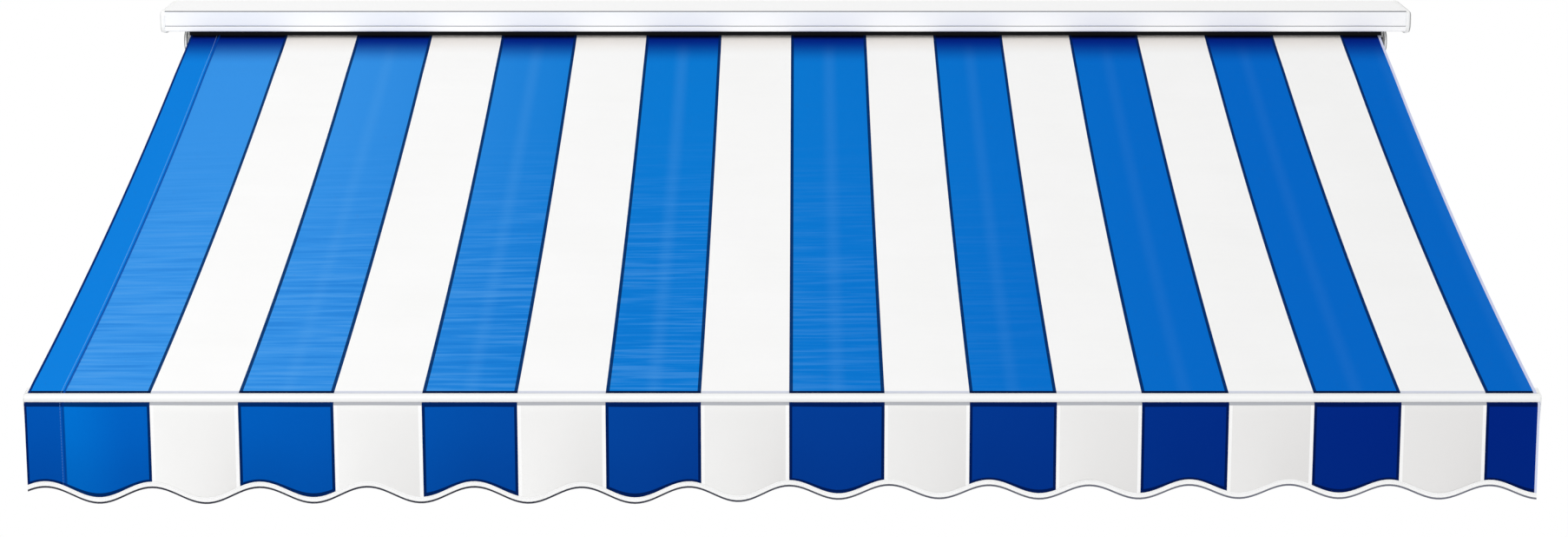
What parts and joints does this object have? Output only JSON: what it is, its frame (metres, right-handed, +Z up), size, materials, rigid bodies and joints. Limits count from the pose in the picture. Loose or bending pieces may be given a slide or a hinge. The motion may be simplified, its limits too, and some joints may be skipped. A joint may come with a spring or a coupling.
{
  "type": "folding-arm awning",
  "caption": "Retractable wall awning with hood, folding sprung arms, cloth roller, striped cloth, front bar and wavy valance",
  "frame": {"origin": "on the wall plane, at the middle of the middle wall bracket's back face", "axes": "+X to the right along the hood, +Y into the wall, +Z up"},
  "size_m": [3.0402, 1.9957, 0.7564],
  "materials": {
    "white_metal": "white powder coat, satin",
    "white_plastic": "white moulded, fine texture",
    "steel": "zinc plated",
    "dark_plastic": "black, satin",
    "striped_cloth": "woven acrylic, blue and white stripes",
    "binding": "white woven tape"
  },
  "bodies": {
    "head": {"wall_bracket_left": "white_metal", "wall_bracket_middle": "white_metal", "wall_bracket_right": "white_metal", "bracket_strap_left": "white_metal", "bracket_strap_middle": "white_metal", "bracket_strap_right": "white_metal", "torsion_bar": "white_metal", "hood": "white_metal", "hood_seal": "dark_plastic", "hood_end_cap_left": "white_plastic", "hood_end_cap_right": "white_plastic", "hood_support_left": "white_metal", "hood_support_right": "white_metal", "roller_bracket_left": "white_metal", "roller_bracket_right": "white_metal", "arm_base_left": "white_metal", "arm_base_right": "white_metal", "pitch_bolt_left": "steel", "pitch_bolt_right": "steel", "tube_motor": "dark_plastic"},
    "roller": {"roller_tube": "steel", "roller_idler_plug": "white_plastic", "motor_crown": "white_plastic", "motor_drive_wheel": "white_plastic", "canopy_roll": "striped_cloth"},
    "left_knuckle": {"arm_knuckle_left": "white_metal", "pitch_lock_bolt_left": "steel", "shoulder_pin_left": "steel", "canopy": "striped_cloth"},
    "right_knuckle": {"arm_knuckle_right": "white_metal", "pitch_lock_bolt_right": "steel", "shoulder_pin_right": "steel"},
    "left_upper_arm": {"shoulder_joint_left": "white_metal", "upper_arm_left": "white_metal", "elbow_fork_left": "white_metal", "elbow_pin_left": "steel", "arm_spring_left": "steel"},
    "left_forearm": {"elbow_tongue_left": "white_metal", "forearm_left": "white_metal", "wrist_eye_left": "white_metal"},
    "right_upper_arm": {"shoulder_joint_right": "white_metal", "upper_arm_right": "white_metal", "elbow_fork_right": "white_metal", "elbow_pin_right": "steel", "arm_spring_right": "steel"},
    "right_forearm": {"elbow_tongue_right": "white_metal", "forearm_right": "white_metal", "wrist_eye_right": "white_metal"},
    "front": {"front_bar": "white_metal", "front_bar_cap_left": "white_plastic", "front_bar_cap_right": "white_plastic", "wrist_bracket_left": "white_metal", "wrist_bracket_right": "white_metal", "wrist_pin_left": "steel", "wrist_pin_right": "steel", "cloth_welt_rod": "white_plastic", "valance_welt_rod": "white_plastic", "valance": "striped_cloth", "valance_binding": "binding"}
  },
  "joints": [
    {"name": "left_pitch", "type": "hinge", "parent": "head", "child": "left_knuckle", "pos_m": [-1.2998, -0.08, -0.04], "axis": [1, 0, 0], "range_deg": [-3, 10], "deforming": ["canopy"]},
    {"name": "right_pitch", "type": "hinge", "parent": "head", "child": "right_knuckle", "pos_m": [1.2998, -0.08, -0.04], "axis": [1, 0, 0], "range_deg": [-3, 10]},
    {"name": "left_shoulder", "type": "hinge", "parent": "left_knuckle", "child": "left_upper_arm", "pos_m": [-1.2998, -0.12304, -0.04915], "axis": [0, -0.2079, 0.9781], "range_deg": [0, 77], "deforming": ["canopy"]},
    {"name": "left_elbow", "type": "hinge", "parent": "left_upper_arm", "child": "left_forearm", "pos_m": [-1.13831, -1.0189, -0.23957], "axis": [0, -0.2079, 0.9781], "range_deg": [-154, 0]},
    {"name": "left_wrist", "type": "hinge", "parent": "left_forearm", "child": "front", "pos_m": [-1.2998, -1.91475, -0.42999], "axis": [0, -0.2079, 0.9781], "range_deg": [0, 77]},
    {"name": "right_shoulder", "type": "hinge", "parent": "right_knuckle", "child": "right_upper_arm", "pos_m": [1.2998, -0.12304, -0.04915], "axis": [0, -0.2079, 0.9781], "range_deg": [-77, 0]},
    {"name": "right_elbow", "type": "hinge", "parent": "right_upper_arm", "child": "right_forearm", "pos_m": [1.13831, -1.0189, -0.23957], "axis": [0, -0.2079, 0.9781], "range_deg": [0, 154]},
    {"name": "roller_spin", "type": "hinge", "parent": "head", "child": "roller", "pos_m": [0, -0.125, 0.047], "axis": [1, 0, 0], "range_deg": [-2512, 0]}
  ],
  "couplings": [
    {"joint": "right_pitch", "follows": "left_pitch", "ratio": 1},
    {"joint": "left_elbow", "follows": "left_shoulder", "ratio": -2},
    {"joint": "left_wrist", "follows": "left_shoulder", "ratio": 1},
    {"joint": "right_shoulder", "follows": "left_shoulder", "ratio": -1},
    {"joint": "right_elbow", "follows": "left_shoulder", "ratio": 2},
    {"joint": "roller_spin", "follows": "left_shoulder", "ratio": -32.6}
  ]
}
